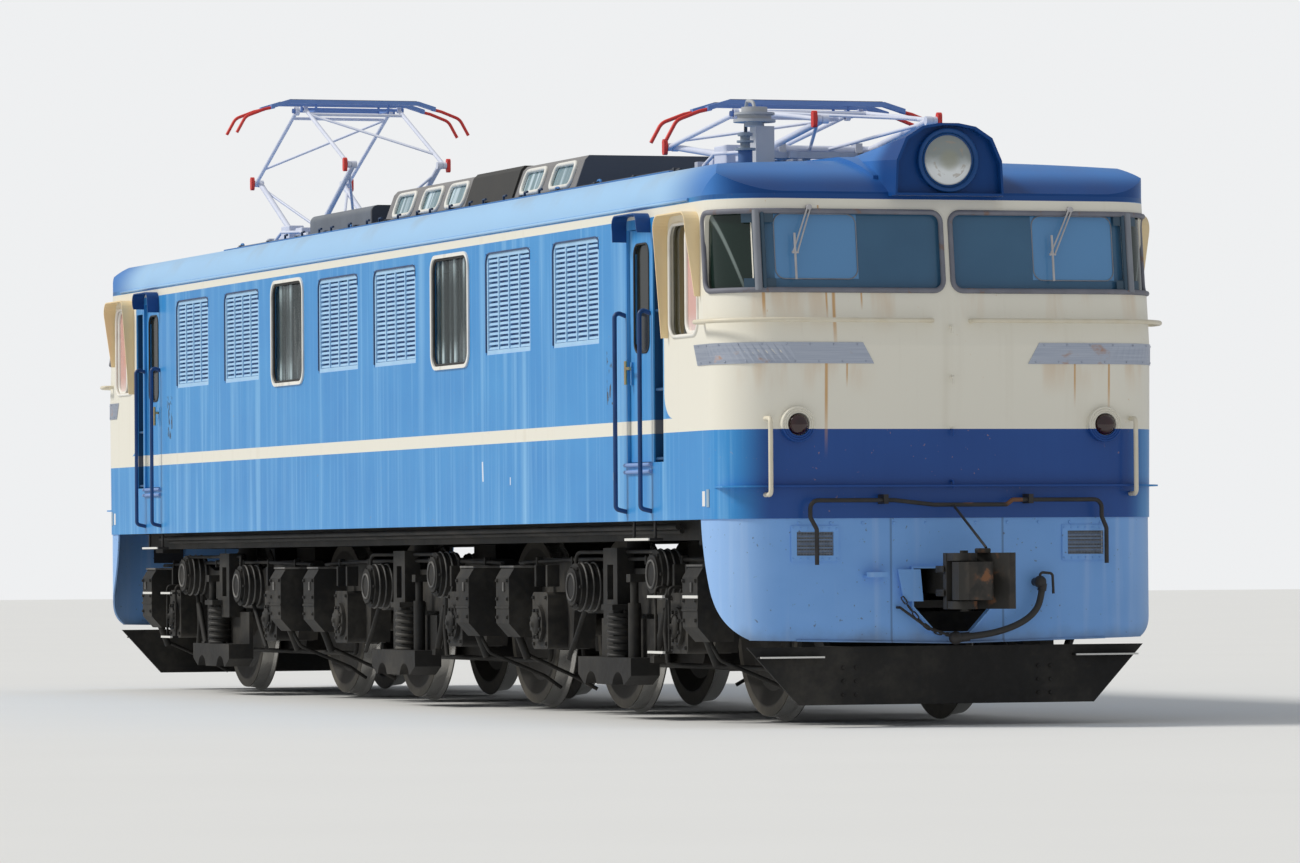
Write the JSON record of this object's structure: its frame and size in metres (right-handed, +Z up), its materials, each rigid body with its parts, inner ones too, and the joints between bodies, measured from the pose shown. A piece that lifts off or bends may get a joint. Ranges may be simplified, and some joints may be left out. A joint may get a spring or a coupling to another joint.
{
  "type": "electric locomotive",
  "caption": "Electric main-line locomotive with a cab at each end, box body, diamond pantographs and swivelling bogies.",
  "frame": {"origin": "centre of the locomotive between its coupler faces, on the level of the wheel flange tips", "axes": "+X towards the front end, +Y to its left, +Z up"},
  "size_m": [16.5, 2.99, 4.5678],
  "materials": {
    "blue_paint": "gloss paint, weathered",
    "cream_paint": "gloss paint, weathered",
    "roof_blue": "gloss paint",
    "grey_paint": "satin paint",
    "pale_blue": "satin paint",
    "black_metal": "dusty paint",
    "cast_black": "dusty casting",
    "wheel_steel": "machined tread, dusty web",
    "collector_grey": "satin paint",
    "glass": "tinted glass",
    "lens": "lamp glass",
    "rubber": "matt",
    "inside_green": "matt paint"
  },
  "bodies": {
    "body": {"cab_shell_front": "blue_paint", "cab_shell_rear": "blue_paint", "side_left": "blue_paint", "side_right": "blue_paint", "louvres_left": "blue_paint", "louvres_right": "blue_paint", "roof_main": "roof_blue", "cab_roofs": "roof_blue", "roof_monitor": "grey_paint", "roof_fittings": "grey_paint", "hoods": "blue_paint", "handrails": "cream_paint", "window_frames": "cream_paint", "side_glass": "glass", "cab_glass": "glass", "lamp_lenses": "lens", "deck": "black_metal", "underframe": "black_metal", "cross_members": "black_metal", "bulkheads": "inside_green", "machine_block": "grey_paint", "cab_interior": "inside_green", "skirts": "pale_blue", "end_fittings": "cream_paint", "brake_hose_front": "rubber", "brake_hose_rear": "rubber", "pantograph_bases": "collector_grey"},
    "coupler_front": {"coupler_front": "cast_black"},
    "coupler_rear": {"coupler_rear": "cast_black"},
    "knuckle_front": {"knuckle_front": "cast_black"},
    "knuckle_rear": {"knuckle_rear": "cast_black"},
    "bogie_front": {"bogie_frame_front": "cast_black", "bogie_gear_front": "black_metal", "motors_front": "cast_black"},
    "bogie_middle": {"bogie_frame_middle": "cast_black", "bogie_gear_middle": "black_metal", "motors_middle": "cast_black"},
    "bogie_rear": {"bogie_frame_rear": "cast_black", "bogie_gear_rear": "black_metal", "motors_rear": "cast_black"},
    "wheelset_1": {"wheelset_1": "wheel_steel"},
    "wheelset_2": {"wheelset_2": "wheel_steel"},
    "wheelset_3": {"wheelset_3": "wheel_steel"},
    "wheelset_4": {"wheelset_4": "wheel_steel"},
    "wheelset_5": {"wheelset_5": "wheel_steel"},
    "wheelset_6": {"wheelset_6": "wheel_steel"},
    "door_front_left": {"door_front_left": "blue_paint"},
    "door_front_right": {"door_front_right": "blue_paint"},
    "door_rear_left": {"door_rear_left": "blue_paint"},
    "door_rear_right": {"door_rear_right": "blue_paint"},
    "pantograph_front_lower_front": {"pantograph_front_lower_front": "collector_grey"},
    "pantograph_front_lower_rear": {"pantograph_front_lower_rear": "collector_grey"},
    "pantograph_front_upper_front": {"pantograph_front_upper_front": "collector_grey"},
    "pantograph_front_upper_rear": {"pantograph_front_upper_rear": "collector_grey"},
    "pantograph_front_head": {"pantograph_front_head": "collector_grey"},
    "pantograph_rear_lower_front": {"pantograph_rear_lower_front": "collector_grey"},
    "pantograph_rear_lower_rear": {"pantograph_rear_lower_rear": "collector_grey"},
    "pantograph_rear_upper_front": {"pantograph_rear_upper_front": "collector_grey"},
    "pantograph_rear_upper_rear": {"pantograph_rear_upper_rear": "collector_grey"},
    "pantograph_rear_head": {"pantograph_rear_head": "collector_grey"}
  },
  "joints": [
    {"name": "bogie_front_swivel", "type": "hinge", "parent": "body", "child": "bogie_front", "pos_m": [4.7, 0, 0.828], "axis": [0, 0, 1], "range_deg": [-2.5, 2.5]},
    {"name": "bogie_middle_shift", "type": "slide", "parent": "body", "child": "bogie_middle", "axis": [0, 1, 0], "range_m": [-0.045, 0.045]},
    {"name": "bogie_rear_swivel", "type": "hinge", "parent": "body", "child": "bogie_rear", "pos_m": [-4.7, 0, 0.828], "axis": [0, 0, 1], "range_deg": [-2.5, 2.5]},
    {"name": "axle_1", "type": "hinge", "parent": "bogie_front", "child": "wheelset_1", "pos_m": [6.1, 0, 0.588], "axis": [0, 1, 0], "continuous": true},
    {"name": "axle_2", "type": "hinge", "parent": "bogie_front", "child": "wheelset_2", "pos_m": [3.3, 0, 0.588], "axis": [0, 1, 0], "continuous": true},
    {"name": "axle_3", "type": "hinge", "parent": "bogie_middle", "child": "wheelset_3", "pos_m": [1.4, 0, 0.588], "axis": [0, 1, 0], "continuous": true},
    {"name": "axle_4", "type": "hinge", "parent": "bogie_middle", "child": "wheelset_4", "pos_m": [-1.4, 0, 0.588], "axis": [0, 1, 0], "continuous": true},
    {"name": "axle_5", "type": "hinge", "parent": "bogie_rear", "child": "wheelset_5", "pos_m": [-3.3, 0, 0.588], "axis": [0, 1, 0], "continuous": true},
    {"name": "axle_6", "type": "hinge", "parent": "bogie_rear", "child": "wheelset_6", "pos_m": [-6.1, 0, 0.588], "axis": [0, 1, 0], "continuous": true},
    {"name": "coupler_front_swing", "type": "hinge", "parent": "body", "child": "coupler_front", "pos_m": [7.15, 0, 0.858], "axis": [0, 0, 1], "range_deg": [-3.5, 3.5]},
    {"name": "knuckle_front_open", "type": "hinge", "parent": "coupler_front", "child": "knuckle_front", "pos_m": [8.125, -0.11, 0.858], "axis": [0, 0, -1], "range_deg": [0, 35]},
    {"name": "coupler_rear_swing", "type": "hinge", "parent": "body", "child": "coupler_rear", "pos_m": [-7.15, 0, 0.858], "axis": [0, 0, 1], "range_deg": [-3.5, 3.5]},
    {"name": "knuckle_rear_open", "type": "hinge", "parent": "coupler_rear", "child": "knuckle_rear", "pos_m": [-8.125, 0.11, 0.858], "axis": [0, 0, -1], "range_deg": [0, 35]},
    {"name": "door_front_left_hinge", "type": "hinge", "parent": "body", "child": "door_front_left", "pos_m": [6.222, 1.318, 2.228], "axis": [0, 0, 1], "range_deg": [0, 90]},
    {"name": "door_front_right_hinge", "type": "hinge", "parent": "body", "child": "door_front_right", "pos_m": [6.222, -1.318, 2.228], "axis": [0, 0, -1], "range_deg": [0, 90]},
    {"name": "door_rear_left_hinge", "type": "hinge", "parent": "body", "child": "door_rear_left", "pos_m": [-6.222, 1.318, 2.228], "axis": [0, 0, -1], "range_deg": [0, 90]},
    {"name": "door_rear_right_hinge", "type": "hinge", "parent": "body", "child": "door_rear_right", "pos_m": [-6.222, -1.318, 2.228], "axis": [0, 0, 1], "range_deg": [0, 90]},
    {"name": "pantograph_front_raise", "type": "hinge", "parent": "body", "child": "pantograph_front_lower_front", "pos_m": [5.38, 0, 3.558], "axis": [0, -1, 0], "range_deg": [0, 58.5]},
    {"name": "pantograph_front_lower_rear_pivot", "type": "hinge", "parent": "body", "child": "pantograph_front_lower_rear", "pos_m": [4.62, 0, 3.558], "axis": [0, 1, 0], "range_deg": [0, 58.5]},
    {"name": "pantograph_front_knee_front", "type": "hinge", "parent": "pantograph_front_lower_front", "child": "pantograph_front_upper_front", "pos_m": [6.42325, 0, 3.67686], "axis": [0, 1, 0], "range_deg": [0, 110.27]},
    {"name": "pantograph_front_knee_rear", "type": "hinge", "parent": "pantograph_front_lower_rear", "child": "pantograph_front_upper_rear", "pos_m": [3.57675, 0, 3.67686], "axis": [0, -1, 0], "range_deg": [0, 110.27]},
    {"name": "pantograph_front_head_pivot", "type": "hinge", "parent": "pantograph_front_upper_front", "child": "pantograph_front_head", "pos_m": [5.12, 0, 3.80967], "axis": [0, -1, 0], "range_deg": [0, 51.77]},
    {"name": "pantograph_rear_raise", "type": "hinge", "parent": "body", "child": "pantograph_rear_lower_front", "pos_m": [-4.92, 0, 3.558], "axis": [0, -1, 0], "range_deg": [-18.5, 40]},
    {"name": "pantograph_rear_lower_rear_pivot", "type": "hinge", "parent": "body", "child": "pantograph_rear_lower_rear", "pos_m": [-5.68, 0, 3.558], "axis": [0, 1, 0], "range_deg": [-18.5, 40]},
    {"name": "pantograph_rear_knee_front", "type": "hinge", "parent": "pantograph_rear_lower_front", "child": "pantograph_rear_upper_front", "pos_m": [-3.96838, 0, 4.00175], "axis": [0, 1, 0], "range_deg": [-34.8, 75.24]},
    {"name": "pantograph_rear_knee_rear", "type": "hinge", "parent": "pantograph_rear_lower_rear", "child": "pantograph_rear_upper_rear", "pos_m": [-6.63162, 0, 4.00175], "axis": [0, -1, 0], "range_deg": [-34.8, 75.24]},
    {"name": "pantograph_rear_head_pivot", "type": "hinge", "parent": "pantograph_rear_upper_front", "child": "pantograph_rear_head", "pos_m": [-5.18, 0, 4.49981], "axis": [0, -1, 0], "range_deg": [-16.3, 35.24]}
  ],
  "couplings": [
    {"joint": "pantograph_front_lower_rear_pivot", "follows": "pantograph_front_raise", "ratio": 1},
    {"joint": "pantograph_front_knee_front", "follows": "pantograph_front_raise", "ratio": 1.885},
    {"joint": "pantograph_front_knee_rear", "follows": "pantograph_front_raise", "ratio": 1.885},
    {"joint": "pantograph_front_head_pivot", "follows": "pantograph_front_raise", "ratio": 0.885},
    {"joint": "pantograph_rear_lower_rear_pivot", "follows": "pantograph_rear_raise", "ratio": 1},
    {"joint": "pantograph_rear_knee_front", "follows": "pantograph_rear_raise", "ratio": 1.881},
    {"joint": "pantograph_rear_knee_rear", "follows": "pantograph_rear_raise", "ratio": 1.881},
    {"joint": "pantograph_rear_head_pivot", "follows": "pantograph_rear_raise", "ratio": 0.881}
  ]
}
